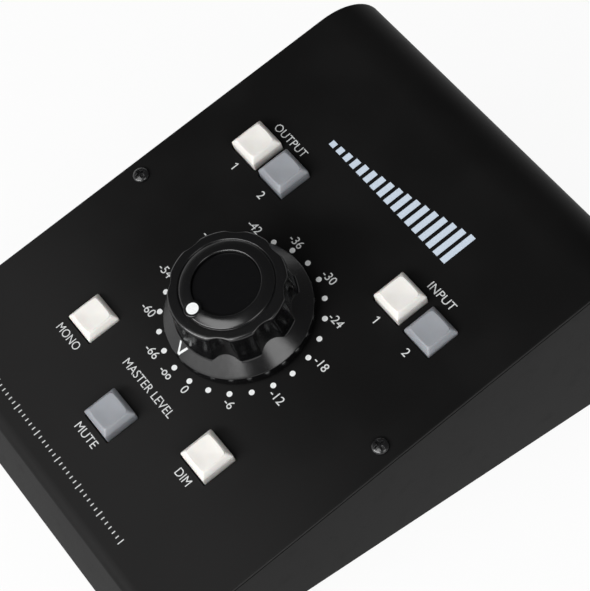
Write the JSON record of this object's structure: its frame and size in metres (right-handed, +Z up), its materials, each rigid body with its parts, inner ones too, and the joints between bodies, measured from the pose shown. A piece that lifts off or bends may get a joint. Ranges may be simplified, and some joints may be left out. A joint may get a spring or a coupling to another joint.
{
  "type": "studio monitor controller",
  "caption": "Wedge-shaped desktop monitor controller: folded metal case, large stepped level knob and square latching push buttons, jack sockets at the rear.",
  "frame": {"origin": "on the surface the feet stand on, under the middle of the whole object", "axes": "+X the user's right, -Y the user's side, +Z up"},
  "size_m": [0.1424, 0.1964, 0.0839],
  "materials": {
    "black_case_paint": "satin, fine texture",
    "white_cap": "satin",
    "grey_cap": "satin",
    "black_knob": "polished",
    "white_marking": "satin",
    "disc_black": "satin",
    "black_screw": "black oxide",
    "zinc_steel": "plated",
    "brass": "turned",
    "rubber_black": "matt",
    "board_green": "solder resist",
    "component_black": "moulded",
    "wafer_resin": "phenolic",
    "switch_body": "moulded",
    "plunger_nylon": "nylon",
    "ribbon_grey": "vinyl"
  },
  "bodies": {
    "case": {"top_cover": "black_case_paint", "base_tray": "black_case_paint", "rubber_feet": "rubber_black", "foot_screws": "zinc_steel", "foot_nuts": "zinc_steel", "cover_screws": "black_screw", "cover_nuts": "zinc_steel", "rear_screws": "black_screw", "rear_nuts": "zinc_steel", "switch_bush": "brass", "switch_housing": "zinc_steel", "switch_nut": "zinc_steel", "switch_washer": "zinc_steel", "detent_ball": "zinc_steel", "detent_spring": "zinc_steel", "wafer_spacers": "zinc_steel", "tie_rods": "zinc_steel", "tie_rod_nuts": "zinc_steel", "button_housings": "switch_body", "button_springs": "zinc_steel", "control_board": "board_green", "level_resistors": "component_black", "board_standoffs": "zinc_steel", "board_screws": "zinc_steel", "output_jacks": "component_black", "input_jacks": "component_black", "jack_nuts": "zinc_steel", "jack_washers": "zinc_steel", "jack_board": "board_green", "ribbon_headers": "component_black", "ribbon_cable": "ribbon_grey", "wafer_1": "wafer_resin", "wafer_2": "wafer_resin", "wafer_3": "wafer_resin", "wafer_4": "wafer_resin"},
    "level_knob": {"knob": "black_knob", "knob_pointer_mark": "white_marking", "knob_index_dot": "white_marking", "knob_cap_disc": "disc_black", "knob_set_screws": "zinc_steel", "knob_bush": "brass", "switch_shaft": "zinc_steel", "detent_wheel": "zinc_steel", "wafer_rotors": "wafer_resin"},
    "button_output_1": {"cap_output_1": "white_cap", "plunger_output_1": "plunger_nylon"},
    "button_output_2": {"cap_output_2": "grey_cap", "plunger_output_2": "plunger_nylon"},
    "button_input_1": {"cap_input_1": "white_cap", "plunger_input_1": "plunger_nylon"},
    "button_input_2": {"cap_input_2": "grey_cap", "plunger_input_2": "plunger_nylon"},
    "button_mono": {"cap_mono": "white_cap", "plunger_mono": "plunger_nylon"},
    "button_dim": {"cap_dim": "white_cap", "plunger_dim": "plunger_nylon"},
    "button_mute": {"cap_mute": "grey_cap", "plunger_mute": "plunger_nylon"}
  },
  "joints": [
    {"name": "knob_turn", "type": "hinge", "parent": "case", "child": "level_knob", "pos_m": [0, -0.01911, 0.05658], "axis": [0, -0.2924, 0.9563], "range_deg": [-345, 0]},
    {"name": "press_output_1", "type": "slide", "parent": "case", "child": "button_output_1", "axis": [0, 0.2924, -0.9563], "range_m": [0, 0.003], "stiffness_N_per_m": 700},
    {"name": "press_output_2", "type": "slide", "parent": "case", "child": "button_output_2", "axis": [0, 0.2924, -0.9563], "range_m": [0, 0.003], "stiffness_N_per_m": 700},
    {"name": "press_input_1", "type": "slide", "parent": "case", "child": "button_input_1", "axis": [0, 0.2924, -0.9563], "range_m": [0, 0.003], "stiffness_N_per_m": 700},
    {"name": "press_input_2", "type": "slide", "parent": "case", "child": "button_input_2", "axis": [0, 0.2924, -0.9563], "range_m": [-0.0022, 0.0008], "stiffness_N_per_m": 700},
    {"name": "press_mono", "type": "slide", "parent": "case", "child": "button_mono", "axis": [0, 0.2924, -0.9563], "range_m": [-0.0022, 0.0008], "stiffness_N_per_m": 700},
    {"name": "press_dim", "type": "slide", "parent": "case", "child": "button_dim", "axis": [0, 0.2924, -0.9563], "range_m": [0, 0.003], "stiffness_N_per_m": 700},
    {"name": "press_mute", "type": "slide", "parent": "case", "child": "button_mute", "axis": [0, 0.2924, -0.9563], "range_m": [0, 0.003], "stiffness_N_per_m": 700}
  ]
}
